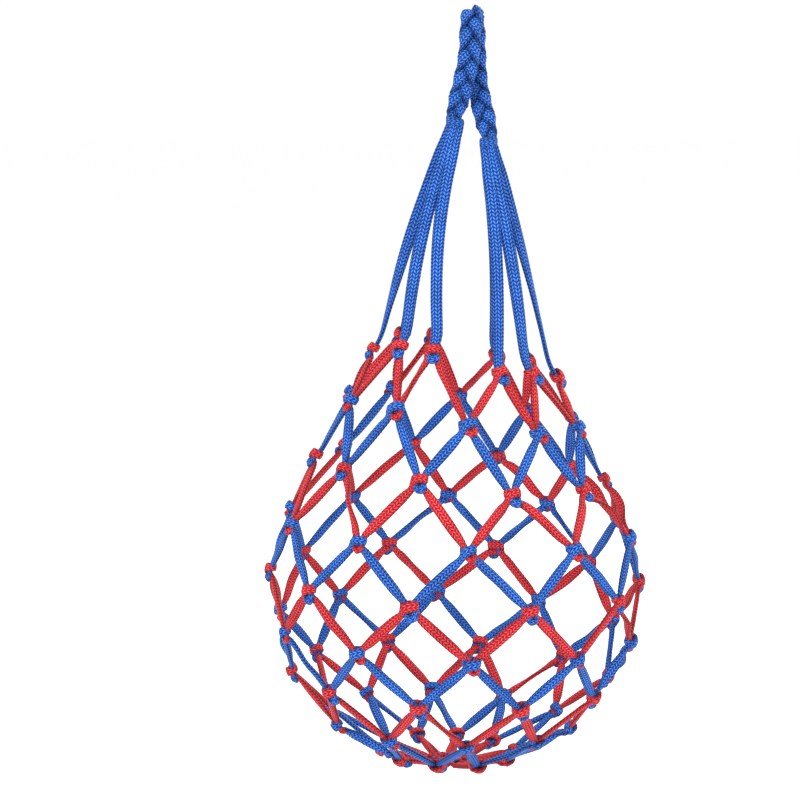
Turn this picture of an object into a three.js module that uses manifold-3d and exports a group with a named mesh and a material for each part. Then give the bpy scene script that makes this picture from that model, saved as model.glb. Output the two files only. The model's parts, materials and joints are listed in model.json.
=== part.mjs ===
// Mesh ball bag: a knotted net of flat braided cord that hangs on ten straps from a plaited handle.
// It is modelled in the shape that it takes round a full-size ball.
// Millimetres, +Z up, with the front towards -Y.
// The origin is where a hook or a hand holds the bag: the inside top of the handle's loop.
import * as THREE from "three";
import { mergeVertices } from "three/addons/utils/BufferGeometryUtils.js";
import Module from "manifold-3d";

// ---- Driving dimensions ----
const BALL_RADIUS = 121; // the ball that the net is knotted to fit
const BALL_CENTRE = new THREE.Vector3(-9.6, 0, -378); // a little to the left of the handle's top
const COLUMNS = 10; // meshes round the net, with one strap to each
const FIRST_KNOT_AZIMUTH = -16; // of the lower even rings, degrees to the right of the front

const CORD = { width: 6.6, thickness: 2.6 };
const STRAP = { width: 8, thickness: 2.6 };
const KNOT = { width: 12, height: 10.5, thickness: 7 };

const MOUTH = { radius: 60, height: 154.5 }; // the first ring of knots, height above the ball's centre
const STRAP_SPREAD = [0, 45, 69]; // degrees from the middle of a side to the knots of its straps
const MIDDLE_SAG = 6.5; // how much lower the knot in the middle of each side hangs
const SHOULDER = { radius: 77.6, height: 116.4 }; // the second ring, still clear of the ball
const FIRST_LATITUDE = 39; // degrees: the third ring, the first that lies on the ball
const RINGS_ON_BALL = 7;
const MESH_BAR = 53.6; // knot to knot along one strand, below the third ring
const BAR_SHRINK = 1.3; // each lower row is worked on a bar this much shorter
const SIDE_DROP = [7, 6, 4]; // how much lower the right half of the first three rings hangs
const LEAN = 2.5; // degrees: the whole net sits askew on the ball, its right side low
const TURN = 1.2; // degrees: each ring below the third is turned this much further round

const HANDLE = { reach: 7.4, leftEnd: [-10.3, 0, -62], rightEnd: [12, 0, -75.5] };
const PLAIT = { strands: 3, turns: 4, stepsPerTurn: 10, halfWidth: 4, halfDepth: 1.95 };
const PLAIT_CORD = { width: 4, thickness: 1.7 };
const PLAIT_END = { share: 0.6, length: 8 }; // how narrow the plait is squeezed, and over what length
const WHIPPING = { radius: 6.2, depthShare: 0.78, height: 8.5, below: 1.2 };
const STRAP_BUNDLE = { radius: 3.2, width: 3.2, thickness: 2 };
const BASE_RING = { radius: 8.6, cordRadius: 2, narrowing: 0.6 };
const GAP = 0.4; // between pieces that touch on the real bag

// Sections of a cord, as shares of its half width and half thickness.
const SOFT_SECTION = [[1, 0], [0.5, 1], [-0.5, 1], [-1, 0], [-0.5, -1], [0.5, -1]];
const FLAT_SECTION = [[1, 0.8], [-1, 0.8], [-1, -0.8], [1, -0.8]];

const RED = new THREE.MeshStandardMaterial({ color: 0xd8232f, roughness: 0.75, metalness: 0 });
const BLUE = new THREE.MeshStandardMaterial({ color: 0x2457c8, roughness: 0.75, metalness: 0 });

const manifold = await Module();
manifold.setup();

const UP = new THREE.Vector3(0, 0, 1);
const BACK = new THREE.Vector3(0, 1, 0);
const NET_RADIUS = BALL_RADIUS + GAP + CORD.thickness / 2;
const HALF_COLUMN = 180 / COLUMNS;
const radians = THREE.MathUtils.degToRad;

// A point on a ring round the net's own axis, its height counted from the ball's centre.
function around(azimuth, radius, height) {
  const a = radians(azimuth);
  const point = new THREE.Vector3(radius * Math.sin(a), -radius * Math.cos(a), height);
  return point.applyAxisAngle(BACK, radians(LEAN)).add(BALL_CENTRE);
}

// The way straight off the net's surface at a point: away from the ball's centre, or level above the ball.
function outward(point) {
  const away = point.clone().sub(BALL_CENTRE);
  away.z = Math.min(away.z, 0.5 * Math.hypot(away.x, away.y));
  return away.normalize();
}

// A solid swept through stations. Each station holds its centre (at), the way across its width (side), the
// way through its thickness (out), and its full width and thickness, which the section is scaled to.
function sweep(stations, section) {
  const positions = [];
  const faces = [];
  const sides = section.length;
  for (const s of stations)
    for (const [across, through] of section) {
      const point = s.at.clone().addScaledVector(s.side, (s.width / 2) * across);
      positions.push(...point.addScaledVector(s.out, (s.thickness / 2) * through).toArray());
    }
  const last = (stations.length - 1) * sides;
  for (let start = 0; start < last; start += sides)
    for (let k = 0; k < sides; k++) {
      const [a, b] = [start + k, start + ((k + 1) % sides)];
      faces.push(a, b, b + sides, a, b + sides, a + sides);
    }
  for (let k = 1; k < sides - 1; k++) {
    faces.push(0, k + 1, k);
    faces.push(last, last + k, last + k + 1);
  }
  const geometry = new THREE.BufferGeometry();
  geometry.setAttribute("position", new THREE.Float32BufferAttribute(positions, 3));
  geometry.setIndex(faces);
  geometry.computeVertexNormals();
  return geometry;
}

// One solid from several that overlap.
function joined(geometries) {
  const solids = geometries.map((geometry) => {
    geometry.deleteAttribute("normal");
    const merged = mergeVertices(geometry, 1e-4);
    const vertProperties = merged.getAttribute("position").array;
    const triVerts = new Uint32Array(merged.index.array);
    return new manifold.Manifold(new manifold.Mesh({ numProp: 3, vertProperties, triVerts }));
  });
  const { vertProperties, triVerts } = manifold.Manifold.union(solids).getMesh();
  const geometry = new THREE.BufferGeometry();
  geometry.setAttribute("position", new THREE.BufferAttribute(vertProperties, 3));
  geometry.setIndex(new THREE.BufferAttribute(triVerts, 1));
  geometry.computeVertexNormals();
  return geometry;
}

// A stretch of cord through points, each { at, width, thickness }. Its flat side faces off the net, unless
// a point says which way is out. Its ends are square to it, unless a point says which way is along.
function stretch(points, section) {
  const stations = points.map((p, i) => {
    const [before, after] = [points[Math.max(i - 1, 0)], points[Math.min(i + 1, points.length - 1)]];
    const along = (p.along ?? after.at.clone().sub(before.at)).clone().normalize();
    const out = (p.out ?? outward(p.at)).clone();
    out.addScaledVector(along, -out.dot(along)).normalize();
    return { ...p, side: new THREE.Vector3().crossVectors(out, along), out };
  });
  return sweep(stations, section);
}

// ---- The net's rings of knots ----

// The latitude of the ring below: its knots lie one mesh bar away, half a column round.
function latitudeBelow(latitude, bar) {
  const knot = (lat, azimuth) =>
    around(azimuth, NET_RADIUS * Math.cos(radians(lat)), NET_RADIUS * Math.sin(radians(lat)));
  let [low, high] = [latitude - 45, latitude];
  for (let i = 0; i < 40; i++) {
    const middle = (low + high) / 2;
    if (knot(latitude, 0).distanceTo(knot(middle, HALF_COLUMN)) > bar) low = middle;
    else high = middle;
  }
  return high;
}

function makeRings() {
  const rings = [MOUTH, SHOULDER];
  let latitude = FIRST_LATITUDE;
  for (let i = 0; i < RINGS_ON_BALL; i++) {
    const a = radians(latitude);
    rings.push({ radius: NET_RADIUS * Math.cos(a), height: NET_RADIUS * Math.sin(a) });
    latitude = latitudeBelow(latitude, MESH_BAR - BAR_SHRINK * i);
  }
  return rings;
}

const rings = makeRings();

// The side of the bag that a strap belongs to, 1 for the right, and its place among the straps there,
// counted from the middle one.
function placeOf(column) {
  const perSide = COLUMNS / 2;
  const order = (column + COLUMNS - 1) % COLUMNS;
  return { side: order < perSide ? 1 : -1, place: (order % perSide) - (perSide - 1) / 2 };
}

// Odd rings are turned by half a column, so each knot hangs between two above it. The mouth's knots
// hang where their straps hold them.
function knotAzimuth(ring, column) {
  if (ring > 0)
    return FIRST_KNOT_AZIMUTH + HALF_COLUMN * (2 * column + (ring % 2)) + TURN * Math.max(0, ring - 2);
  const { side, place } = placeOf(column);
  return 90 * side + Math.sign(place) * STRAP_SPREAD[Math.abs(place)];
}

function knotAt(ring, column) {
  const azimuth = knotAzimuth(ring, column);
  const rightness = Math.tanh(4 * Math.sin(radians(azimuth)));
  const sag = ring === 0 && placeOf(column).place === 0 ? MIDDLE_SAG : 0;
  const drop = (SIDE_DROP[ring] ?? 0) * rightness + sag;
  return around(azimuth, rings[ring].radius, rings[ring].height - drop);
}

// ---- The handle ----

const [leftEnd, rightEnd] = [HANDLE.leftEnd, HANDLE.rightEnd].map((p) => new THREE.Vector3(...p));

// The middle of the plait: up the front leg from the left end, over the crown, and down the back leg.
const handleLine = new THREE.CatmullRomCurve3(
  [
    leftEnd,
    new THREE.Vector3(-5.2, -HANDLE.reach * 0.7, -43),
    new THREE.Vector3(-1.4, -HANDLE.reach, -24),
    new THREE.Vector3(-0.4, -HANDLE.reach, -8),
    new THREE.Vector3(1, 0, PLAIT.halfDepth + PLAIT_CORD.thickness / 2),
    new THREE.Vector3(2.6, HANDLE.reach, -8),
    new THREE.Vector3(3.2, HANDLE.reach, -24),
    new THREE.Vector3(5, HANDLE.reach * 0.85, -45),
    rightEnd,
  ],
  false,
  "centripetal",
);

// One of the plait's strands: it weaves from side to side once a turn, and over and under twice. The
// plait is squeezed narrower over its last few millimetres, where the whipping grips it.
function plaitStrand(index) {
  const steps = PLAIT.turns * PLAIT.stepsPerTurn;
  const length = handleLine.getLength();
  const points = [];
  for (let i = 0; i <= steps; i++) {
    const share = i / steps;
    const phase = 2 * Math.PI * (PLAIT.turns * share + index / PLAIT.strands);
    const toEnd = Math.min(share, 1 - share) * length;
    const opened = Math.min(toEnd / PLAIT_END.length, 1);
    const squeeze = THREE.MathUtils.lerp(PLAIT_END.share, 1, opened);
    const along = handleLine.getTangentAt(share);
    const out = new THREE.Vector3(1, 0, 0).cross(along).negate().normalize();
    const across = new THREE.Vector3().crossVectors(along, out);
    const at = handleLine
      .getPointAt(share)
      .addScaledVector(across, squeeze * PLAIT.halfWidth * Math.sin(phase))
      .addScaledVector(out, squeeze * PLAIT.halfDepth * Math.sin(2 * phase));
    points.push({ at, out, width: squeeze * PLAIT_CORD.width, thickness: squeeze * PLAIT_CORD.thickness });
  }
  return stretch(points, SOFT_SECTION);
}

// The cord bound round the plait's end: two turns that show as two rolls, under a domed top.
function whipping() {
  const { radius, height, below } = WHIPPING;
  const outline = new THREE.Path();
  outline.moveTo(0, -height);
  outline.lineTo(radius * 0.7, -height);
  outline.quadraticCurveTo(radius * 1.15, -height * 0.75, radius * 0.85, -height / 2 - 1);
  outline.quadraticCurveTo(radius * 1.15, -height / 2, radius * 0.6, -below - 1.5);
  outline.quadraticCurveTo(radius * 0.3, -below, 0, -below);
  const geometry = new THREE.LatheGeometry(outline.getPoints(3), 16);
  geometry.rotateX(Math.PI / 2);
  return geometry.scale(1, WHIPPING.depthShare, 1);
}

// ---- Straps ----

// A strap from under the whipping, where the straps stand in a ring, to the top of its knot.
function strap(end, column) {
  const { side, place } = placeOf(column);
  const turned = radians(90 * side + 4 * HALF_COLUMN * place);
  const { radius } = STRAP_BUNDLE;
  const top = end.clone().add(new THREE.Vector3(radius * Math.sin(turned), -radius * Math.cos(turned), 0));
  top.z -= WHIPPING.height + STRAP_BUNDLE.width / 2;
  const knot = knotAt(0, column);
  const foot = knot.clone().addScaledVector(top.clone().sub(knot).normalize(), KNOT.height / 2 + 2 * GAP);
  const along = foot.clone().sub(top);
  const spread = new THREE.Vector3(Math.sin(turned), -Math.cos(turned), 0);
  const fan = new THREE.Vector3(knot.x, knot.y, 0).normalize();
  const points = [0, 0.3, 0.65, 1].map((share) => ({
    at: top.clone().addScaledVector(along, share),
    along,
    out: spread.clone().lerp(fan, Math.min(share * 2.5, 1)),
    width: THREE.MathUtils.lerp(STRAP_BUNDLE.width, STRAP.width, Math.min(share * 2.5, 1)),
    thickness: THREE.MathUtils.lerp(STRAP_BUNDLE.thickness, STRAP.thickness, share),
  }));
  points[3].width = STRAP.width * 0.7;
  return stretch(points, SOFT_SECTION);
}

// ---- The net's rows ----

// A point near a knot, moved over the net's surface: right and up as seen from outside, and outwards.
function nearKnot(knot, right, up, off) {
  const out = outward(knot);
  const east = new THREE.Vector3().crossVectors(UP, out).normalize();
  const north = new THREE.Vector3().crossVectors(out, east);
  return knot.clone().addScaledVector(east, right).addScaledVector(north, up).addScaledVector(out, off);
}

// The middle of a strand, lifted so that it follows the ball instead of cutting across it.
function middleOf(a, b) {
  const point = a.clone().lerp(b, 0.5);
  const away = point.clone().sub(BALL_CENTRE);
  return away.length() < NET_RADIUS ? BALL_CENTRE.clone().add(away.setLength(NET_RADIUS)) : point;
}

// The swelling that ties a row to the one above: the row's own cord wound round the loop that it holds.
function knotLump(knot) {
  const lift = (KNOT.thickness - CORD.thickness) / 2;
  const point = (right, share) => ({
    at: nearKnot(knot, right * KNOT.width, 0, lift),
    width: KNOT.height * share,
    thickness: KNOT.thickness * share,
  });
  return stretch([point(-0.5, 0.62), point(0, 1), point(0.5, 0.62)], SOFT_SECTION);
}

// A strand from inside a knot down to the point where it turns under the ring below.
function strand(knot, foot, width) {
  const { thickness } = CORD;
  const point = (at, share) => ({ at, width: width * share, thickness });
  const points = [point(nearKnot(knot, 0, -1, 0), 0.8), point(middleOf(knot, foot), 1), point(foot, 0.75)];
  return stretch(points, FLAT_SECTION);
}

// One cord of the net, a closed ring: from knot to knot by way of the ring below, ten times round.
function netRow(row) {
  const last = row === rings.length - 1;
  const pieces = [];
  for (let column = 0; column < COLUMNS; column++) {
    const footToRight = last ? footAtBase(column) : footAbove(row + 1, column + (row % 2));
    pieces.push(knotLump(knotAt(row, column)));
    for (const knot of [knotAt(row, column), knotAt(row, column + 1)])
      pieces.push(strand(knot, footToRight, CORD.width * (last ? BASE_RING.narrowing : 1)));
  }
  return joined(pieces);
}

// Where a row's cord turns back up, just above a knot of the ring below.
function footAbove(ring, column) {
  return nearKnot(knotAt(ring, column), 0, KNOT.height / 2 + 0.45 * CORD.width + GAP, 0);
}

// Where the last row's cord turns, against the outside of the base ring.
function footAtBase(column) {
  const last = rings.length - 1;
  const azimuth = (knotAzimuth(last, column) + knotAzimuth(last, column + 1)) / 2;
  const radius = BASE_RING.radius + BASE_RING.cordRadius + GAP + 0.3 * CORD.width * BASE_RING.narrowing;
  return around(azimuth, radius, -Math.sqrt(NET_RADIUS ** 2 - radius ** 2));
}

// ---- Assembly ----

const bag = new THREE.Group();

function add(name, geometry, material, position) {
  const mesh = new THREE.Mesh(geometry, material);
  mesh.name = name;
  if (position) mesh.position.copy(position);
  bag.add(mesh);
}

for (let i = 0; i < PLAIT.strands; i++) add(`handle_plait_strand_${i + 1}`, plaitStrand(i), BLUE);
add("left_whipping", whipping(), BLUE, leftEnd);
add("right_whipping", whipping(), BLUE, rightEnd);

for (let i = 0; i < COLUMNS / 2; i++) {
  add(`left_strap_${i + 1}`, strap(leftEnd, -i), BLUE);
  add(`right_strap_${i + 1}`, strap(rightEnd, i + 1), BLUE);
}

for (let row = 0; row < rings.length; row++) {
  const red = row % 2 === 0;
  add(`net_row_${row + 1}_${red ? "red" : "blue"}`, netRow(row), red ? RED : BLUE);
}

const baseRing = new THREE.TorusGeometry(BASE_RING.radius, BASE_RING.cordRadius, 6, 16);
baseRing.rotateY(radians(LEAN));
add("base_ring", baseRing, BLUE, around(0, 0, -NET_RADIUS));

export default bag;
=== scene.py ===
"""Mesh ball bag: a knotted net of flat braided cord, in the shape it takes round a full-size ball.

Ten straps gather the net under a plaited handle. The file is laid out as an add-on: settings, one
operator for each group of pieces, and a panel that lists them. Sizes are in millimetres until a
piece is made, and the way of the cords repeats the frame's own driving sizes.
"""

import json
import math
import random

import bpy
from mathutils import Matrix, Vector


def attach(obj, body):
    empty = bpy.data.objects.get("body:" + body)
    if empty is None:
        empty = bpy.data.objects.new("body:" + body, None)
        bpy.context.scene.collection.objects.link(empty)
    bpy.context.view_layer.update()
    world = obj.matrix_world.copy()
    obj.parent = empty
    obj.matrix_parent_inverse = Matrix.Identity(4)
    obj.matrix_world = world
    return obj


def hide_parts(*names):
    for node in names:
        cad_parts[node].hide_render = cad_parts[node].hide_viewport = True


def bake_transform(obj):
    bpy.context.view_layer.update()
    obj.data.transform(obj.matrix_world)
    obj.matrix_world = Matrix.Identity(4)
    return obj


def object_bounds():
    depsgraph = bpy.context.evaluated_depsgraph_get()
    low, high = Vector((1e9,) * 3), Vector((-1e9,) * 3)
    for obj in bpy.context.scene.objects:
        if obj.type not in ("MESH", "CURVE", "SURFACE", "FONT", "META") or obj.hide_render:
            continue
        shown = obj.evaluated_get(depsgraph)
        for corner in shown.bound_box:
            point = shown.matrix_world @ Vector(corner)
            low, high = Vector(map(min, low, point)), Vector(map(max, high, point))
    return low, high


bl_info = {
    "name": "Mesh Ball Bag",
    "version": (1, 0, 0),
    "blender": (4, 5, 0),
    "location": "3D View > Sidebar > Ball Bag",
    "description": "Makes a knotted cord net bag for a ball, with its straps and plaited handle",
    "category": "Add Mesh",
}

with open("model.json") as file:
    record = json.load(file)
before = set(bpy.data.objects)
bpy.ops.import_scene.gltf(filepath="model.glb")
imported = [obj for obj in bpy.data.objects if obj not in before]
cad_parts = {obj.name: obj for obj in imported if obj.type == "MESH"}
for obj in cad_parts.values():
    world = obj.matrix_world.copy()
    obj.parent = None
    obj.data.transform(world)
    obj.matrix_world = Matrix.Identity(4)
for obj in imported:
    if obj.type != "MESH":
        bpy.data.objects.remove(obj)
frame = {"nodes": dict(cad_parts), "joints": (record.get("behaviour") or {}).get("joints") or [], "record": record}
CAD_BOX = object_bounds()

MM = 0.001
UP = Vector((0, 0, 1))
BACK = Vector((0, 1, 0))

# ---------------------------------------------------------------------------
# Sizes that the frame's solids were made to
# ---------------------------------------------------------------------------


def ball_centre():
    """The middle of the space that the net is knotted round, in millimetres."""
    for opening in frame["record"]["physics"]["openings"]:
        if opening["name"] == "ball_space":
            low, high = opening["box_m"]
            return (Vector(low) + Vector(high)) / 2 / MM
    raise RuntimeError("the record has no opening named ball_space")


BALL_CENTRE = ball_centre()
NET_RADIUS = 122.7  # the middle of the cord's thickness where it lies on the ball
FIRST_KNOT_AZIMUTH = -16
RINGS_ON_BALL = 7
FIRST_LATITUDE = 39
MESH_BAR = 53.6
BAR_SHRINK = 1.3
MOUTH_RING = (60, 154.5)  # radius, height above the ball's centre
STRAP_SPREAD = (0, 45, 69)  # degrees from the middle of a side to the knots of its straps
MIDDLE_SAG = 6.5
SHOULDER_RING = (77.6, 116.4)
SIDE_DROP = (7, 6, 4)
LEAN = math.radians(2.5)
TURN = 1.2

LEFT_END = Vector((-10.3, 0, -62))  # where the plait's front leg meets its whipping
RIGHT_END = Vector((12, 0, -75.5))
HANDLE_REACH = 7.4  # half the depth of the handle's loop
CROWN_HEIGHT = 4.6


# ---------------------------------------------------------------------------
# Settings
# ---------------------------------------------------------------------------


class BAG_PG_cord(bpy.types.PropertyGroup):
    """Sizes of the cord and of its braid."""

    width: bpy.props.FloatProperty(
        name="Net Cord Width",
        description="Width of the flat cord in the middle of a mesh, in millimetres",
        default=6.8,
        min=3,
        max=12,
    )
    thickness: bpy.props.FloatProperty(
        name="Net Cord Thickness",
        description="Thickness of the flat cord of the net, in millimetres",
        default=2.7,
        min=1,
        max=6,
    )
    strap_width: bpy.props.FloatProperty(
        name="Strap Width",
        description="Width of the ten straps, in millimetres",
        default=8.4,
        min=3,
        max=14,
    )
    plait_width: bpy.props.FloatProperty(
        name="Plait Strand Width",
        description="Width of each of the plait's three strands, in millimetres",
        default=8.1,
        min=3,
        max=12,
    )
    stitch: bpy.props.FloatProperty(
        name="Stitch Length",
        description="Distance from one braid stitch to the next along a cord",
        default=2.6 * MM,
        min=0.5 * MM,
        max=10 * MM,
        unit="LENGTH",
    )
    relief: bpy.props.FloatProperty(
        name="Stitch Relief",
        description="How far the middle of a stitch stands out of the cord",
        default=0.32 * MM,
        min=0,
        max=2 * MM,
        unit="LENGTH",
    )
    seed: bpy.props.IntProperty(
        name="Hand Seed",
        description="Seed of the small differences between knots and strands that are tied by hand",
        default=11,
        min=0,
    )


class BAG_PG_colours(bpy.types.PropertyGroup):
    """Colours of the two cords and of the floor."""

    red: bpy.props.FloatVectorProperty(
        name="Red Cord",
        description="Colour of the middle of a red stitch",
        subtype="COLOR",
        size=3,
        default=(0.51, 0.013, 0.018),
        min=0,
        max=1,
    )
    blue: bpy.props.FloatVectorProperty(
        name="Blue Cord",
        description="Colour of the middle of a blue stitch",
        subtype="COLOR",
        size=3,
        default=(0.009, 0.078, 0.41),
        min=0,
        max=1,
    )
    floor: bpy.props.FloatVectorProperty(
        name="Floor",
        description="Colour of the floor under the bag",
        subtype="COLOR",
        size=3,
        default=(0.95, 0.95, 0.95),
        min=0,
        max=1,
    )


class BAG_PG_stage(bpy.types.PropertyGroup):
    """Floor, light and camera."""

    floor_drop: bpy.props.FloatProperty(
        name="Floor Drop",
        description="How far the floor lies under the hanging bag",
        default=0.09,
        min=0,
        unit="LENGTH",
    )
    light: bpy.props.FloatProperty(
        name="Key Light",
        description="Power of the main light",
        default=26,
        min=0,
        subtype="POWER",
    )
    focal_length: bpy.props.FloatProperty(
        name="Focal Length",
        description="Focal length of the camera",
        default=119,
        min=10,
        subtype="DISTANCE_CAMERA",
    )


# ---------------------------------------------------------------------------
# Node helpers
# ---------------------------------------------------------------------------


class Nodes:
    """Adds nodes to a tree, and sets or links each input that it is given."""

    def __init__(self, tree):
        self.tree = tree

    def add(self, kind, inputs=None, **settings):
        node = self.tree.nodes.new(kind)
        for name, value in settings.items():
            setattr(node, name, value)
        for socket, value in (inputs or {}).items():
            self.give(node.inputs[socket], value)
        return node

    def give(self, socket, value):
        if isinstance(value, bpy.types.NodeSocket):
            self.tree.links.new(value, socket)
        else:
            socket.default_value = value

    def math(self, operation, *values):
        return self.add("ShaderNodeMath", dict(enumerate(values)), operation=operation).outputs[0]

    def vector(self, operation, *values):
        node = self.add("ShaderNodeVectorMath", dict(enumerate(values)), operation=operation)
        return node.outputs["Value" if operation == "DOT_PRODUCT" else "Vector"]

    def scaled(self, vector, factor):
        node = self.add("ShaderNodeVectorMath", {0: vector, "Scale": factor}, operation="SCALE")
        return node.outputs["Vector"]


STITCH_COLUMNS = 10  # columns of slanting stitches round a cord, five on each face
STITCH_SLANT = 0.9  # how many stitches a column climbs across its own width
STITCH_ROUNDING = 0.9  # power of a stitch's profile along the cord: below 1, fuller
COLUMN_ROUNDING = 0.5  # the same across its column


def herringbone(nodes, around, along):
    """The height, 0 to 1, of a braid of slanting stitches. Neighbouring columns slant oppositely."""
    columns = nodes.math("MULTIPLY", around, STITCH_COLUMNS)
    across = nodes.math("FRACT", columns)
    parity = nodes.math("MODULO", nodes.math("FLOOR", columns), 2)
    way = nodes.math("MULTIPLY_ADD", parity, -2, 1)
    slant = nodes.math("MULTIPLY", nodes.math("SUBTRACT", across, 0.5), STITCH_SLANT)
    stitch = nodes.math("FRACT", nodes.math("MULTIPLY_ADD", way, slant, along))
    over = nodes.math("SINE", nodes.math("MULTIPLY", stitch, math.pi))
    over = nodes.math("POWER", over, STITCH_ROUNDING)
    round_column = nodes.math("SINE", nodes.math("MULTIPLY", across, math.pi))
    return nodes.math("MULTIPLY", over, nodes.math("POWER", round_column, COLUMN_ROUNDING))


# ---------------------------------------------------------------------------
# The braided cord, swept by Geometry Nodes
# ---------------------------------------------------------------------------

SECTION_BUNCHING = 0.2  # how far the section's corners gather at its narrow edges
SECTION_SQUARENESS = 0.8  # power of the section's outline: below 1, flatter on both faces

CORD_INPUTS = (
    ("Step", "NodeSocketFloat", 0.8 * MM),
    ("Sides", "NodeSocketInt", 16),
    ("Stitch Length", "NodeSocketFloat", 2.6 * MM),
    ("Stitch Relief", "NodeSocketFloat", 0.3 * MM),
    ("Material", "NodeSocketMaterial", None),
)


def cord_tree():
    """A node group that sweeps a flat braided cord along a line of points.

    The points carry the attributes outward, width and thickness.
    """
    tree = bpy.data.node_groups.get("Braided Cord")
    if tree:
        return tree
    tree = bpy.data.node_groups.new("Braided Cord", "GeometryNodeTree")
    tree.interface.new_socket("Geometry", in_out="INPUT", socket_type="NodeSocketGeometry")
    for name, kind, default in CORD_INPUTS:
        socket = tree.interface.new_socket(name, in_out="INPUT", socket_type=kind)
        if default is not None:
            socket.default_value = default
    tree.interface.new_socket("Geometry", in_out="OUTPUT", socket_type="NodeSocketGeometry")
    nodes = Nodes(tree)
    given = nodes.add("NodeGroupInput").outputs

    line = nodes.add("GeometryNodeMeshToCurve", {"Mesh": given["Geometry"]}).outputs["Curve"]
    line = nodes.add("GeometryNodeCurveSplineType", {"Curve": line}, spline_type="CATMULL_ROM")
    line = nodes.add(
        "GeometryNodeSetSplineResolution", {"Geometry": line.outputs[0], "Resolution": 10}
    )
    line = nodes.add(
        "GeometryNodeResampleCurve",
        {"Curve": line.outputs[0], "Length": given["Step"]},
        mode="LENGTH",
    )
    path = captured(
        nodes,
        line.outputs[0],
        centre=nodes.add("GeometryNodeInputPosition").outputs[0],
        tangent=nodes.add("GeometryNodeInputTangent").outputs[0],
        along=nodes.add("GeometryNodeSplineParameter").outputs["Length"],
        outward=named(nodes, "outward", "FLOAT_VECTOR"),
        width=named(nodes, "width", "FLOAT"),
        thickness=named(nodes, "thickness", "FLOAT"),
    )

    corners = nodes.math("ADD", given["Sides"], 1)
    circle = nodes.add(
        "GeometryNodeCurveArc", {"Resolution": corners, "Radius": 1.0, "Sweep Angle": math.tau}
    )
    section = captured(
        nodes,
        circle.outputs["Curve"],
        around=nodes.add("GeometryNodeSplineParameter").outputs["Factor"],
    )
    swept = nodes.add(
        "GeometryNodeCurveToMesh", {"Curve": path["Geometry"], "Profile Curve": section["Geometry"]}
    ).outputs[0]

    stitches = nodes.math("DIVIDE", path["along"], given["Stitch Length"])
    height = herringbone(nodes, section["around"], stitches)
    raised = nodes.math("MULTIPLY", height, given["Stitch Relief"])
    spot = cord_surface(nodes, path, section["around"], raised)
    swept = nodes.add("GeometryNodeSetPosition", {"Geometry": swept, "Position": spot}).outputs[0]

    where = nodes.add("ShaderNodeCombineXYZ", {"X": section["around"], "Y": stitches}).outputs[0]
    swept = nodes.add(
        "GeometryNodeStoreNamedAttribute",
        {"Geometry": swept, "Name": "braid", "Value": where},
        data_type="FLOAT2",
        domain="CORNER",
    ).outputs[0]
    swept = nodes.add(
        "GeometryNodeMergeByDistance", {"Geometry": swept, "Distance": 1e-6}
    ).outputs[0]
    swept = nodes.add("GeometryNodeSetShadeSmooth", {"Geometry": swept}).outputs[0]
    swept = nodes.add("GeometryNodeRealizeInstances", {"Geometry": swept}).outputs[0]
    swept = nodes.add(
        "GeometryNodeSetMaterial", {"Geometry": swept, "Material": given["Material"]}
    ).outputs[0]
    nodes.add("NodeGroupOutput", {"Geometry": swept})
    return tree


def named(nodes, name, kind):
    return nodes.add("GeometryNodeInputNamedAttribute", {"Name": name}, data_type=kind).outputs[0]


def captured(nodes, geometry, **fields):
    """Holds each field as it is on this geometry. Returns the outputs by name."""
    node = nodes.add("GeometryNodeCaptureAttribute", {"Geometry": geometry})
    for name, value in fields.items():
        node.capture_items.new("FLOAT" if value.type in ("VALUE", "INT") else "VECTOR", name)
        nodes.give(node.inputs[name], value)
    return node.outputs


def cord_surface(nodes, path, around, raised):
    """Where a share of the way round goes on the cord: an oval across the path, flat on its faces."""
    spill = nodes.vector("DOT_PRODUCT", path["outward"], path["tangent"])
    level = nodes.vector("SUBTRACT", path["outward"], nodes.scaled(path["tangent"], spill))
    out = nodes.vector("NORMALIZE", level)
    side = nodes.vector("CROSS_PRODUCT", out, path["tangent"])
    twice_round = nodes.math("SINE", nodes.math("MULTIPLY", around, 2 * math.tau))
    bunched = nodes.math("MULTIPLY", twice_round, SECTION_BUNCHING)
    angle = nodes.math("MULTIPLY_ADD", around, math.tau, bunched)
    spot = path["centre"]
    for way, turn, size in ((side, "COSINE", path["width"]), (out, "SINE", path["thickness"])):
        share = nodes.math(turn, angle)
        fuller = nodes.math("POWER", nodes.math("ABSOLUTE", share), SECTION_SQUARENESS)
        squared = nodes.math("MULTIPLY", fuller, nodes.math("SIGN", share))
        half = nodes.math("MAXIMUM", nodes.math("MULTIPLY", size, 0.5), 0)
        slim = nodes.math("MINIMUM", nodes.math("DIVIDE", half, 1 * MM), 1)
        reach = nodes.math("MULTIPLY_ADD", raised, slim, half)
        spot = nodes.vector("ADD", spot, nodes.scaled(way, nodes.math("MULTIPLY", squared, reach)))
    return spot


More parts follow.
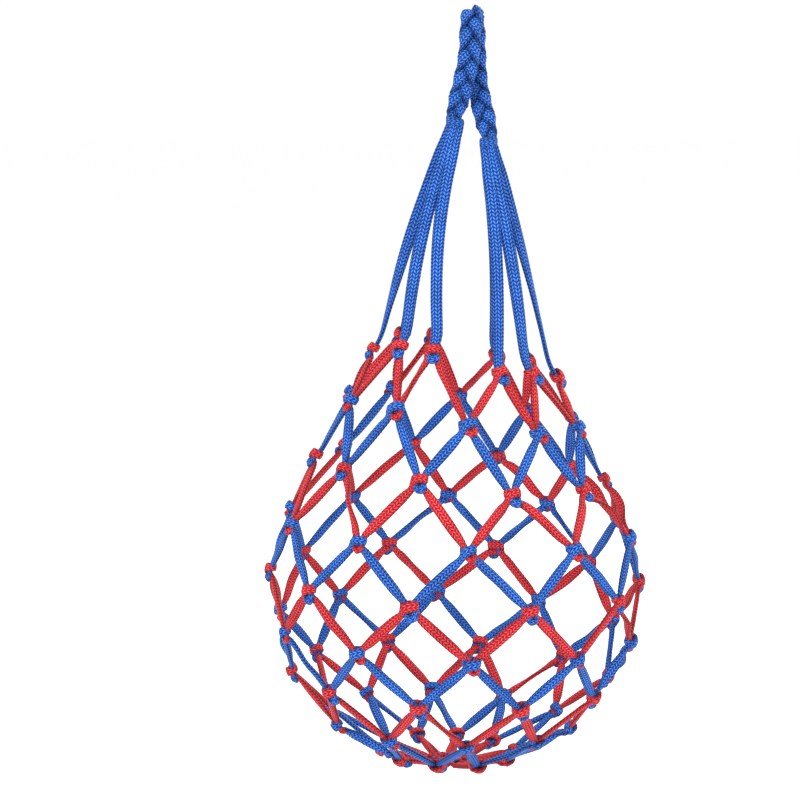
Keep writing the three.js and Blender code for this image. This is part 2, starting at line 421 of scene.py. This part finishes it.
class Cord:
    """A line of points that a cord follows, in millimetres, with its flat side's way at each."""

    def __init__(self, closed=False):
        self.closed = closed
        self.points = []

    def add(self, at, outward, width, thickness):
        self.points.append((at.copy(), outward.normalized(), max(width, 0), max(thickness, 0)))

    def end(self, reach=0.6):
        """Closes the open end of the cord with a rounded tip."""
        at, outward, width, thickness = self.points[-1]
        before = self.points[-2][0]
        along = (at - before).normalized()
        self.add(at + along * reach, outward, width * 0.6, thickness * 0.6)
        self.add(at + along * reach * 1.4, outward, 0, 0)

    def begin(self):
        """Closes the cord's start in the same way."""
        self.points.reverse()
        self.end()
        self.points.reverse()

    def make(self, name, material, step=0.75, sides=20, tightness=1.0):
        """The finished cord as a plain mesh object. A tight cord has shorter stitches."""
        mesh = bpy.data.meshes.new(name)
        count = len(self.points)
        edges = [(i, (i + 1) % count) for i in range(count if self.closed else count - 1)]
        mesh.from_pydata([p[0] * MM for p in self.points], edges, [])
        values = {
            "outward": ("FLOAT_VECTOR", "vector", [x for p in self.points for x in p[1]]),
            "width": ("FLOAT", "value", [p[2] * MM for p in self.points]),
            "thickness": ("FLOAT", "value", [p[3] * MM for p in self.points]),
        }
        for key, (kind, field, data) in values.items():
            mesh.attributes.new(key, kind, "POINT").data.foreach_set(field, data)
        obj = bpy.data.objects.new(name, mesh)
        bpy.context.scene.collection.objects.link(obj)
        cord = bpy.context.scene.bag_cord
        swept(
            obj,
            {
                "Step": step * MM,
                "Sides": sides,
                "Stitch Length": cord.stitch / tightness,
                "Stitch Relief": cord.relief,
                "Material": material,
            },
        )
        return obj


def swept(obj, inputs):
    """Runs the cord's node group on an object and keeps the result as its plain mesh."""
    tree = cord_tree()
    modifier = obj.modifiers.new("Braided Cord", "NODES")
    modifier.node_group = tree
    for item in tree.interface.items_tree:
        if item.in_out == "INPUT" and item.name in inputs:
            modifier[item.identifier] = inputs[item.name]
    depsgraph = bpy.context.evaluated_depsgraph_get()
    mesh = bpy.data.meshes.new_from_object(obj.evaluated_get(depsgraph))
    if len(mesh.polygons) < 10:
        raise RuntimeError(f"{obj.name} has no surface")
    obj.modifiers.clear()
    bare = obj.data
    obj.data = mesh
    mesh.name = obj.name
    bpy.data.meshes.remove(bare)


# ---------------------------------------------------------------------------
# Material
# ---------------------------------------------------------------------------


def cord_material(name, colour, edge_shade=0.45):
    """Braided polypropylene cord with fine filaments: bright stitches over dark gaps, where the dark gaps are
    painted shade and the bright crests a painted highlight, and painted shade darkens the cord towards its edges.
    """
    material = bpy.data.materials.get(name)
    if material:
        return material
    material = bpy.data.materials.new(name)
    material.use_nodes = True
    tree = material.node_tree
    tree.nodes.clear()
    nodes = Nodes(tree)
    uv = nodes.add("ShaderNodeUVMap", uv_map="braid").outputs[0]
    split = nodes.add("ShaderNodeSeparateXYZ", {0: uv}).outputs
    height = herringbone(nodes, split["X"], split["Y"])
    place = nodes.add("ShaderNodeTexCoord").outputs["Object"]
    patches = nodes.add(
        "ShaderNodeTexNoise", {"Vector": place, "Scale": 70.0, "Detail": 3.0}
    ).outputs[0]
    grain = nodes.add(
        "ShaderNodeTexNoise", {"Vector": place, "Scale": 1500.0, "Detail": 2.0}
    ).outputs[0]

    grained = nodes.math("MULTIPLY_ADD", grain, 0.25, height)
    # Painted shade and highlight: this ramp darkens the colour in the gaps between stitches and lightens it on
    # their crests, as light would.
    shade = nodes.add("ShaderNodeValToRGB", {"Fac": grained})
    stops = shade.color_ramp.elements
    stops[0].position, stops[0].color = 0.15, tone(colour, 2.6)
    stops[1].position, stops[1].color = 1.0, tone(colour, 0.55)
    for position, depth in ((0.42, 1.35), (0.72, 0.95)):
        stop = stops.new(position)
        stop.color = tone(colour, depth)
    faded = nodes.add(
        "ShaderNodeMapRange",
        {"Value": patches, "From Min": 0.3, "From Max": 0.7, "To Min": 0.78, "To Max": 1.12},
    ).outputs[0]
    # Painted shade: the colour darkens by edge_shade towards the cord's two narrow edges, as if shaded by the
    # cords beside and across it.
    turn = nodes.math("MULTIPLY", split["X"], math.tau)
    side = nodes.math("ABSOLUTE", nodes.math("COSINE", turn))
    painted_edge_shade = nodes.math("MULTIPLY_ADD", nodes.math("POWER", side, 6), -edge_shade, 1)
    varied = nodes.add(
        "ShaderNodeHueSaturation",
        {"Color": shade.outputs[0], "Value": nodes.math("MULTIPLY", faded, painted_edge_shade)},
    ).outputs[0]

    gloss = nodes.add(
        "ShaderNodeMapRange", {"Value": height, "To Min": 0.85, "To Max": 0.4}
    ).outputs[0]
    depth = nodes.math("MULTIPLY_ADD", grain, 0.2, height)
    bump = nodes.add(
        "ShaderNodeBump", {"Height": depth, "Strength": 0.7, "Distance": 0.35 * MM}
    ).outputs[0]
    shader = nodes.add(
        "ShaderNodeBsdfPrincipled",
        {
            "Base Color": varied,
            "Roughness": gloss,
            "Normal": bump,
            "Specular IOR Level": 0.16,
            "Sheen Weight": 0.03,
            "Sheen Roughness": 0.4,
            "Sheen Tint": tone(colour, 0.5),
        },
    )
    nodes.add("ShaderNodeOutputMaterial", {"Surface": shader.outputs[0]})
    return material


def tone(colour, depth):
    """A cord's colour raised to a power: deeper is darker and purer. The cord's ramp uses deep tones as painted
    shade in the gaps between stitches and light tones as a painted highlight on their crests.
    """
    return (*(c**depth for c in colour), 1)


def blue_cord():
    return cord_material("Blue braided cord", tuple(bpy.context.scene.bag_colours.blue))


def plaited_cord():
    """The blue cord again, with the deep shade that lies along the edges of crossing strands."""
    colour = tuple(bpy.context.scene.bag_colours.blue)
    return cord_material("Blue plaited cord", colour, edge_shade=0.6)


def red_cord():
    return cord_material("Red braided cord", tuple(bpy.context.scene.bag_colours.red))


# ---------------------------------------------------------------------------
# The net's shape
# ---------------------------------------------------------------------------


def columns():
    """How many meshes go round the net: one for each strap."""
    return sum("_strap_" in name for name in frame["nodes"])


HALF_COLUMN = 180 / columns()


def around(azimuth, radius, height):
    """A point on a ring round the net's own axis, its height counted from the ball's centre."""
    a = math.radians(azimuth)
    point = Vector((radius * math.sin(a), -radius * math.cos(a), height))
    return Matrix.Rotation(LEAN, 3, BACK) @ point + BALL_CENTRE


def latitude_below(latitude, bar):
    """The latitude of the next ring down: its knots lie one mesh bar away and half a column round."""

    def on_ball(lat, azimuth):
        lat, azimuth = math.radians(lat), math.radians(azimuth)
        level = math.cos(lat)
        x, y = level * math.sin(azimuth), level * math.cos(azimuth)
        return NET_RADIUS * Vector((x, y, math.sin(lat)))

    low, high = latitude - 45, latitude
    for _ in range(40):
        middle = (low + high) / 2
        if (on_ball(latitude, 0) - on_ball(middle, HALF_COLUMN)).length > bar:
            low = middle
        else:
            high = middle
    return high


def make_rings():
    rings = [MOUTH_RING, SHOULDER_RING]
    latitude = FIRST_LATITUDE
    for i in range(RINGS_ON_BALL):
        a = math.radians(latitude)
        rings.append((NET_RADIUS * math.cos(a), NET_RADIUS * math.sin(a)))
        latitude = latitude_below(latitude, MESH_BAR - BAR_SHRINK * i)
    return rings


RINGS = make_rings()
LAST_RING = len(RINGS) - 1


def place_of(column):
    """A strap's side, 1 for the right, and its place among that side's straps, 0 in the middle."""
    per_side = columns() // 2
    side, order = divmod((column - 1) % columns(), per_side)
    return 1 - 2 * side, order - (per_side - 1) // 2


def knot_azimuth(ring, column):
    if ring > 0:
        return FIRST_KNOT_AZIMUTH + HALF_COLUMN * (2 * column + ring % 2) + TURN * max(0, ring - 2)
    side, place = place_of(column)
    return 90 * side + math.copysign(STRAP_SPREAD[abs(place)], place)


def outward(point):
    """The way off the net's surface: away from the ball's centre, and nearly level above the ball."""
    away = point - BALL_CENTRE
    away.z = min(away.z, 0.5 * math.hypot(away.x, away.y))
    return away.normalized()


class Spot:
    """A place on the net with its own axes: right, up and out, as seen from outside."""

    def __init__(self, at, spin=0.0, size=1.0):
        self.at = at
        self.out = outward(at)
        east = UP.cross(self.out).normalized()
        self.east = Matrix.Rotation(spin, 3, self.out) @ east
        self.north = self.out.cross(self.east)
        self.size = size

    def point(self, u, v, w):
        return self.at + self.size * (u * self.east + v * self.north + w * self.out)

    def way(self, u, v, w):
        return u * self.east + v * self.north + w * self.out


def knot_spot(ring, column):
    """The spot of a knot. Each knot is turned and sized a little by hand."""
    column %= columns()
    azimuth = knot_azimuth(ring, column)
    radius, height = RINGS[ring]
    if ring < len(SIDE_DROP):
        height -= SIDE_DROP[ring] * math.tanh(4 * math.sin(math.radians(azimuth)))
    if ring == 0 and place_of(column)[1] == 0:
        height -= MIDDLE_SAG
    hand = random.Random(bpy.context.scene.bag_cord.seed * 1000 + ring * 100 + column)
    spin, size = hand.uniform(-0.22, 0.22), hand.uniform(0.93, 1.08)
    return Spot(around(azimuth, radius, height), spin, size)


# ---------------------------------------------------------------------------
# Knots: each row's cord ties itself round the loop of the cord above, as a sheet bend
# ---------------------------------------------------------------------------

# Each stage of a way is: right, up and out (mm), the flat side's way, width and thickness (mm).
TIE = (
    (-2.0, -0.4, 5.0, (-0.2, 0.1, 1.0), 6.2, 2.4),
    (1.6, 1.4, 5.7, (0.2, 0.2, 0.95), 6.4, 2.4),
    (4.6, 1.9, 3.4, (1.0, 0.1, 0.3), 5.8, 2.2),
    (3.9, 1.9, 0.3, (0.7, 0.0, -0.7), 5.2, 2.0),
    (0.0, 1.9, -0.5, (0.0, 0.0, -1.0), 5.0, 1.8),
    (-3.9, 1.6, 0.3, (-0.7, 0.0, -0.7), 5.0, 2.0),
    (-4.6, 0.9, 2.6, (-1.0, 0.0, 0.2), 5.0, 2.0),
    (-2.4, -0.9, 3.5, (-0.2, -0.3, 0.9), 4.8, 2.0),
    (1.0, -3.0, 2.8, (0.1, -0.4, 0.9), 4.8, 2.2),
)
LOOP = (
    (-2.3, 1.8, 2.2, (0.0, 0.0, 1.0), 4.6, 2.2),
    (-1.6, -2.0, 2.8, (-0.3, -0.2, 0.9), 4.6, 2.4),
    (-0.3, -4.9, 4.0, (-0.4, -0.6, 0.7), 5.0, 2.7),
    (2.0, -6.2, 4.4, (0.0, -0.6, 0.8), 5.2, 2.9),
    (4.0, -4.9, 4.1, (0.5, -0.4, 0.75), 5.0, 2.7),
    (3.4, -1.9, 3.2, (0.4, 0.0, 0.9), 4.6, 2.4),
    (2.5, 1.8, 2.2, (0.0, 0.0, 1.0), 4.6, 2.2),
)
TIP_STAGES = (2, 3, 4)  # the loop's stages that show as a bump under the knot
TIE_REACH = 6.6  # from a knot's middle to where its own strands run free
LOOP_REACH = 7.0  # the same for the strands of the loop that it ties
TIP_TOP = -2.4  # the height on the knot that the tip is drawn in toward
TIP_SINK = 1.6  # how far the tip sinks when it is drawn in all the way
SMALL_TIP = 0.78  # the tip's size where a red row's loop is tied


def follow(cord, spot, stages):
    for u, v, w, way, width, thickness in stages:
        cord.add(spot.point(u, v, w), spot.way(*way), width * spot.size, thickness * spot.size)


def loop_stages(tip):
    """The loop's way with its tip drawn in to a share of its full size."""
    stages = list(LOOP)
    for i in TIP_STAGES:
        u, v, w, way, width, thickness = LOOP[i]
        up = TIP_TOP + (v - TIP_TOP) * tip
        stages[i] = (u, up, w - TIP_SINK * (1 - tip), way, width * tip, thickness * tip)
    return stages


def toward(spot, other, reach, lift):
    """The point where a strand leaves a knot on its way to another place."""
    way = other - spot.at
    level = (way - way.dot(spot.out) * spot.out).normalized()
    return spot.at + level * reach + spot.out * lift


def add_strand(cord, start, finish, hand, narrow=1.0):
    """A free strand of the net, flat on the ball or rolled partly on its edge by its twist."""
    sizes = bpy.context.scene.bag_cord
    roll = hand.choice((-1, 1)) * 1.25 * hand.random() ** 1.6
    width = sizes.width * hand.uniform(0.92, 1.05) * narrow
    thickness = sizes.thickness * hand.uniform(0.95, 1.25)
    along = (finish - start).normalized()
    cord.add(start, outward(start), sizes.width * 0.7 * narrow, sizes.thickness)
    for share in (0.2, 0.5, 0.8):
        at = start.lerp(finish, share)
        out = outward(at)
        away = at - BALL_CENTRE
        if away.length < NET_RADIUS:
            at = BALL_CENTRE + away * (NET_RADIUS / away.length)
            at += out * 0.3 * width * abs(math.sin(roll)) * math.sin(math.pi * share)
        swell = math.sin(math.pi * share)
        rolled = Matrix.Rotation(roll * swell, 3, along) @ out
        cord.add(at, rolled, width * (0.84 + 0.16 * swell), thickness)
    cord.add(finish, outward(finish), sizes.width * 0.7 * narrow, sizes.thickness)


# The last row's loops hook over the base ring: right, away from the middle, down, then as above.
HOOK = (
    (-1.3, 4.6, 0.9, (0.0, 0.0, 1.0), 3.0, 2.2),
    (-1.2, 0.4, 3.0, (0.0, 0.3, 1.0), 2.8, 2.0),
    (-0.7, -2.6, 1.4, (0.0, -0.9, 0.5), 2.8, 2.0),
    (0.3, -2.6, -0.9, (0.0, -0.8, -0.6), 2.8, 1.8),
    (1.2, 0.6, -1.3, (0.0, 0.2, -1.0), 2.8, 1.8),
    (1.4, 4.6, 0.2, (0.0, 0.6, 0.8), 3.0, 2.2),
)
BASE_RING_RADIUS = 8.6
TOP_ROW_WIDTH = 0.85  # the first row's free strands, as a share of the others' width
LAST_ROW_WIDTH = 0.62


def base_spot(column):
    """The place on the base ring where a loop of the last row hooks on."""
    azimuth = (knot_azimuth(LAST_RING, column) + knot_azimuth(LAST_RING, column + 1)) / 2
    spot = Spot(around(azimuth, BASE_RING_RADIUS, -NET_RADIUS))
    spot.out = Matrix.Rotation(LEAN, 3, BACK) @ -UP
    spot.north = (spot.at - around(0, 0, -NET_RADIUS)).normalized()
    spot.east = spot.north.cross(spot.out)
    return spot


def row_cord(row):
    """One cord of the net: it ties a knot, runs down to loop under the ring below, and comes up."""
    cord = Cord(closed=True)
    seed = bpy.context.scene.bag_cord.seed
    hand = random.Random(seed + row)
    last = row == LAST_RING
    narrow = {0: TOP_ROW_WIDTH, LAST_RING: LAST_ROW_WIDTH}.get(row, 1.0)
    tip = SMALL_TIP if row % 2 == 0 else 1.0
    for column in range(columns()):
        knot, after = knot_spot(row, column), knot_spot(row, column + 1)
        below = base_spot(column) if last else knot_spot(row + 1, column + row % 2)
        follow(cord, knot, TIE)
        way_in, way_out = (toward(below, end.at, LOOP_REACH, 1.2) for end in (knot, after))
        add_strand(cord, toward(knot, below.at, TIE_REACH, 1.2), way_in, hand, narrow)
        follow(cord, below, HOOK if last else loop_stages(tip))
        add_strand(cord, way_out, toward(after, below.at, TIE_REACH, 2.0), hand, narrow)
    return cord


# ---------------------------------------------------------------------------
# Handle and straps
# ---------------------------------------------------------------------------


def smooth_line(points, count):
    """Evenly spaced points, each with its direction, on a smooth line through the given points."""
    fine = []
    ends = [2 * points[0] - points[1], *points, 2 * points[-1] - points[-2]]
    for a, b, c, d in zip(ends, ends[1:], ends[2:], ends[3:]):
        for i in range(24):
            t = i / 24
            bend = (2 * a - 5 * b + 4 * c - d) * t**2 + (3 * b - a - 3 * c + d) * t**3
            fine.append(0.5 * (2 * b + (c - a) * t + bend))
    fine.append(points[-1])
    lengths = [0.0]
    for a, b in zip(fine, fine[1:]):
        lengths.append(lengths[-1] + (b - a).length)
    spaced = []
    i = 0
    for k in range(count + 1):
        wanted = lengths[-1] * k / count
        while i < len(fine) - 2 and lengths[i + 1] < wanted:
            i += 1
        share = (wanted - lengths[i]) / (lengths[i + 1] - lengths[i])
        spaced.append((fine[i].lerp(fine[i + 1], share), (fine[i + 1] - fine[i]).normalized()))
    return spaced, lengths[-1]


def handle_line():
    """The middle of the plait: up the front leg, over the crown and down the back leg."""
    reach = HANDLE_REACH
    return [
        LEFT_END - 5 * UP,
        LEFT_END,
        Vector((-5.2, -reach * 0.7, -43)),
        Vector((-1.4, -reach, -24)),
        Vector((-0.4, -reach, -8)),
        Vector((1, 0, CROWN_HEIGHT)),
        Vector((2.6, reach, -8)),
        Vector((3.2, reach, -24)),
        Vector((5, reach * 0.85, -45)),
        RIGHT_END,
        RIGHT_END - 5 * UP,
    ]


PLAIT_TURNS = 4
PLAIT_HALF_WIDTH = 4.9
PLAIT_HALF_DEPTH = 2.4
PLAIT_THICKNESS = 3.1
PLAIT_END = 0.62  # the plait's size where a whipping binds it, as a share of its full size
PLAIT_END_LENGTH = 14  # how far from its end the plait reaches its full size
SAMPLES_PER_TURN = 18


def plait_strand(index):
    """One of the plait's three strands, which crosses over and under its neighbours."""
    cord = Cord()
    width = bpy.context.scene.bag_cord.plait_width
    spaced, length = smooth_line(handle_line(), PLAIT_TURNS * SAMPLES_PER_TURN)
    count = len(spaced) - 1
    for i, (at, along) in enumerate(spaced):
        phase = math.tau * (PLAIT_TURNS * i / count + index / 3)
        out = along.cross(Vector((1, 0, 0))).normalized()
        across = along.cross(out)
        to_end = min(i, count - i) / count * length
        squeeze = min(1, PLAIT_END + (1 - PLAIT_END) * to_end / PLAIT_END_LENGTH)
        at = at + across * squeeze * PLAIT_HALF_WIDTH * math.sin(phase)
        at += out * squeeze * PLAIT_HALF_DEPTH * math.sin(2 * phase)
        # Flat where it crosses the middle, and on its edge where it turns back.
        fold = math.pi / 2 * (1 - math.cos(phase))
        tilt = Matrix.Rotation(fold, 3, along) @ out
        cord.add(at, tilt, width * squeeze, PLAIT_THICKNESS * squeeze)
    cord.end()
    cord.begin()
    return cord


def whipping_cord(end, slope):
    """The flat cord bound twice round the end of the plait, its ends tucked in under the turns."""
    cord = Cord()
    turns = 1.9
    steps = 26
    for i in range(steps + 1):
        share = i / steps
        angle = math.tau * turns * share + 0.8
        tucked = 1 - 0.35 * max(0, 1 - min(share, 1 - share) * 10)
        out = Vector((math.sin(angle), -math.cos(angle), 0))
        round_it = Vector((4.9 * out.x, 4.4 * out.y, 0)) * tucked
        height = -5.6 + 3.4 * (share - 0.5) + slope * out.x
        cord.add(end + round_it + height * UP, out, 5.0 * tucked, 2.2 * tucked)
    cord.end()
    cord.begin()
    return cord


STRAP_BUNDLE_RADIUS = 3.4
STRAP_BOW = {-1: -4.6, 1: 2.2}  # how far the straps of each side swing out halfway down
STRAP_CLING = 1.25  # above 1, the straps of a side lie together at first and spread lower down
STRAP_FOOT = (
    (-0.3, 5.2, 1.8, (0, 0.1, 1), 6.4, 2.6),
    (-0.9, 1.6, 2.4, (0, 0, 1), 5.4, 2.3),
)


def strap_cord(end, column, hand):
    """A strap from inside the whipping down to its knot, where its end turns under as a stopper."""
    cord = Cord()
    sizes = bpy.context.scene.bag_cord
    side, place = place_of(column)
    turned = math.radians(90 * side + 4 * HALF_COLUMN * place)
    spread = Vector((math.sin(turned), -math.cos(turned), 0))
    knot = knot_spot(0, column)
    top = end + spread * STRAP_BUNDLE_RADIUS - 8 * UP
    foot = knot.point(0, 9, 1.2)
    fan = Vector((knot.at.x - BALL_CENTRE.x, knot.at.y, 0)).normalized()
    face = BACK if fan.y > 0 else -BACK
    along = (foot - top).normalized()
    cord.add(top + 5 * UP - spread, face, 3.6, 2.0)
    roll = hand.uniform(-0.35, 0.35)
    feet = [knot_spot(0, c).at for c in range(columns()) if place_of(c)[0] == side]
    middle = sum(feet, Vector()) / len(feet)
    bow = Vector((STRAP_BOW[side] + hand.uniform(-0.6, 0.6), hand.uniform(-0.8, 0.8), 0))
    for share in (0.0, 0.06, 0.14, 0.28, 0.46, 0.64, 0.82, 0.96):
        at = top.lerp(middle, share) + (foot - middle) * share**STRAP_CLING
        at += bow * math.sin(math.pi * share)
        out = face.lerp(fan, share**1.3).normalized()
        rolled = Matrix.Rotation(roll * math.sin(math.pi * share), 3, along) @ out
        full = min(1, 0.68 + share * 2.4)
        cord.add(at, rolled, sizes.strap_width * full * (1 - 0.12 * share), 2.2 + 0.5 * full)
    follow(cord, knot, STRAP_FOOT)
    follow(cord, knot, LOOP[1:6])
    cord.end()
    cord.begin()
    return cord


# ---------------------------------------------------------------------------
# Operators
# ---------------------------------------------------------------------------


class BAG_OT_handle(bpy.types.Operator):
    """Make the plaited handle of three strands"""

    bl_idname = "bag.make_handle"
    bl_label = "Plaited Handle"

    def execute(self, context):
        hinge, across = swing_axis()
        down = across.cross(BACK).normalized()
        if down.z > 0:
            down = -down
        for index in range(3):
            name = f"plaited_strand_{index + 1}"
            piece = plait_strand(index).make(name, plaited_cord(), 0.5, 30, tightness=1.3)
            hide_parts(f"handle_plait_strand_{index + 1}")
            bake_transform(piece)
        return {"FINISHED"}


def swing_axis():
    """A point on the swing's hinge line, in metres, and the line's direction."""
    for joint in frame["joints"]:
        if joint["name"] == "bag_swing":
            return Vector(joint["pos_m"]), Vector(joint["axis"])
    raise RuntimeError("the frame has no joint named bag_swing")


class BAG_OT_whippings(bpy.types.Operator):
    """Make the two whippings that bind the plait's ends to the straps"""

    bl_idname = "bag.make_whippings"
    bl_label = "Whippings"

    def execute(self, context):
        for side, end, slope in (("left", LEFT_END, -1.0), ("right", RIGHT_END, 0.8)):
            cord = whipping_cord(end, slope)
            piece = cord.make(f"{side}_whipping_cord", blue_cord(), step=0.6)
            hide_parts(f"{side}_whipping")
            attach(piece, "whippings")
        return {"FINISHED"}


class BAG_OT_straps(bpy.types.Operator):
    """Make the straps, five under each whipping"""

    bl_idname = "bag.make_straps"
    bl_label = "Straps"

    def execute(self, context):
        hand = random.Random(context.scene.bag_cord.seed)
        for i in range(columns() // 2):
            for side, end, column in (("left", LEFT_END, -i), ("right", RIGHT_END, i + 1)):
                cord = strap_cord(end, column, hand)
                piece = cord.make(f"{side}_strap_cord_{i + 1}", blue_cord(), step=0.65, sides=30)
                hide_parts(f"{side}_strap_{i + 1}")
                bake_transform(piece)
        return {"FINISHED"}


class BAG_OT_net(bpy.types.Operator):
    """Make the net, row by row, each row's cord tied to the one above"""

    bl_idname = "bag.make_net"
    bl_label = "Net"

    def execute(self, context):
        for row in range(len(RINGS)):
            colour = "blue" if row % 2 else "red"
            material = blue_cord() if row % 2 else red_cord()
            piece = row_cord(row).make(f"{colour}_net_cord_{row + 1}", material)
            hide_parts(f"net_row_{row + 1}_{colour}")
            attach(piece, "bag")
        return {"FINISHED"}


class BAG_OT_base_ring(bpy.types.Operator):
    """Make the ring of cord that gathers the last row at the bottom"""

    bl_idname = "bag.make_base_ring"
    bl_label = "Base Ring"

    def execute(self, context):
        cord = Cord(closed=True)
        down = Matrix.Rotation(LEAN, 3, BACK) @ -UP
        for i in range(16):
            at = around(360 * i / 16, BASE_RING_RADIUS, -NET_RADIUS)
            cord.add(at, down, 3.8, 3.2)
        piece = cord.make("base_ring_cord", blue_cord())
        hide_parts("base_ring")
        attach(piece, "bag")
        return {"FINISHED"}


CAMERA_DISTANCE = 1.8  # metres from the ball's centre
CAMERA_RISE = 10.6  # degrees that the camera stands above the ball's centre
CAMERA_DIP = 6.67  # degrees that it looks down
CAMERA_YAW = 1.21
FLOOR_RADIUS = 30
FLOOR_SIDES = 64
LIGHTS = (  # name, place from the bag's middle (m), size (m), share of the key light's power
    ("Key", (-1.2, -1.6, 1.3), 1.4, 1.0),
    ("Fill", (1.6, -1.2, 0.5), 1.6, 0.45),
    ("Top", (0.2, 0.4, 1.8), 1.6, 0.6),
    ("Rim", (0.6, 1.8, 0.6), 1.4, 0.5),
)


class BAG_OT_stage(bpy.types.Operator):
    """Make the floor, the lights and the camera"""

    bl_idname = "bag.make_stage"
    bl_label = "Stage"

    def execute(self, context):
        self.add_camera(context)
        self.add_floor(context)
        self.add_lights(context)
        return {"FINISHED"}

    def add_camera(self, context):
        data = bpy.data.cameras.new("Camera")
        data.sensor_width = 36
        data.lens = context.scene.bag_stage.focal_length
        data.dof.use_dof = False
        camera = bpy.data.objects.new("Camera", data)
        context.scene.collection.objects.link(camera)
        context.scene.camera = camera
        rise = math.radians(CAMERA_RISE)
        back = Vector((0, -math.cos(rise), math.sin(rise)))
        camera.location = BALL_CENTRE * MM + CAMERA_DISTANCE * back
        camera.rotation_euler = (math.radians(90 - CAMERA_DIP), 0, math.radians(CAMERA_YAW))

    def add_floor(self, context):
        mesh = bpy.data.meshes.new("floor")
        height = CAD_BOX[0].z - context.scene.bag_stage.floor_drop
        turns = [math.tau * i / FLOOR_SIDES for i in range(FLOOR_SIDES)]
        ring = [(FLOOR_RADIUS * math.cos(a), FLOOR_RADIUS * math.sin(a), height) for a in turns]
        mesh.from_pydata(ring, [], [list(range(FLOOR_SIDES))])
        floor = bpy.data.objects.new("floor", mesh)
        context.scene.collection.objects.link(floor)
        material = bpy.data.materials.new("Pale floor")
        material.use_nodes = True
        shader = material.node_tree.nodes["Principled BSDF"]
        shader.inputs["Base Color"].default_value = (*context.scene.bag_colours.floor, 1)
        shader.inputs["Roughness"].default_value = 0.9
        shader.inputs["Specular IOR Level"].default_value = 0.1
        mesh.materials.append(material)

    def add_lights(self, context):
        power = context.scene.bag_stage.light
        middle = (CAD_BOX[0] + CAD_BOX[1]) / 2
        for name, place, size, share in LIGHTS:
            data = bpy.data.lights.new(name, "AREA")
            data.energy = power * share
            data.size = size
            light = bpy.data.objects.new(name, data)
            light.location = middle + Vector(place)
            light.rotation_euler = (-Vector(place)).to_track_quat("-Z", "Y").to_euler()
            context.scene.collection.objects.link(light)
        world = bpy.data.worlds.new("Pale studio")
        world.use_nodes = True
        sky = world.node_tree.nodes["Background"]
        sky.inputs["Color"].default_value = (1, 1, 1, 1)
        sky.inputs["Strength"].default_value = 1.05
        context.scene.world = world
        context.scene.view_settings.view_transform = "Standard"


class BAG_PT_panel(bpy.types.Panel):
    """Lists what the add-on makes, and the sizes and colours that it uses"""

    bl_idname = "BAG_PT_panel"
    bl_label = "Mesh Ball Bag"
    bl_space_type = "VIEW_3D"
    bl_region_type = "UI"
    bl_category = "Ball Bag"

    def draw(self, context):
        layout = self.layout
        for group in (context.scene.bag_cord, context.scene.bag_colours, context.scene.bag_stage):
            box = layout.box()
            for name in group.__annotations__:
                box.prop(group, name)
        for operator in OPERATORS:
            layout.operator(operator.bl_idname)


GROUPS = {"bag_cord": BAG_PG_cord, "bag_colours": BAG_PG_colours, "bag_stage": BAG_PG_stage}
OPERATORS = (
    BAG_OT_stage,
    BAG_OT_net,
    BAG_OT_base_ring,
    BAG_OT_straps,
    BAG_OT_whippings,
    BAG_OT_handle,
)


def register():
    for cls in (*GROUPS.values(), *OPERATORS, BAG_PT_panel):
        bpy.utils.register_class(cls)
    for name, group in GROUPS.items():
        setattr(bpy.types.Scene, name, bpy.props.PointerProperty(type=group))


def unregister():
    for name in GROUPS:
        delattr(bpy.types.Scene, name)
    for cls in reversed((*GROUPS.values(), *OPERATORS, BAG_PT_panel)):
        bpy.utils.unregister_class(cls)


def main():
    register()
    bpy.ops.bag.make_stage()
    bpy.ops.bag.make_net()
    bpy.ops.bag.make_base_ring()
    bpy.ops.bag.make_straps()
    bpy.ops.bag.make_whippings()
    bpy.ops.bag.make_handle()


if __name__ == "__main__":
    main()
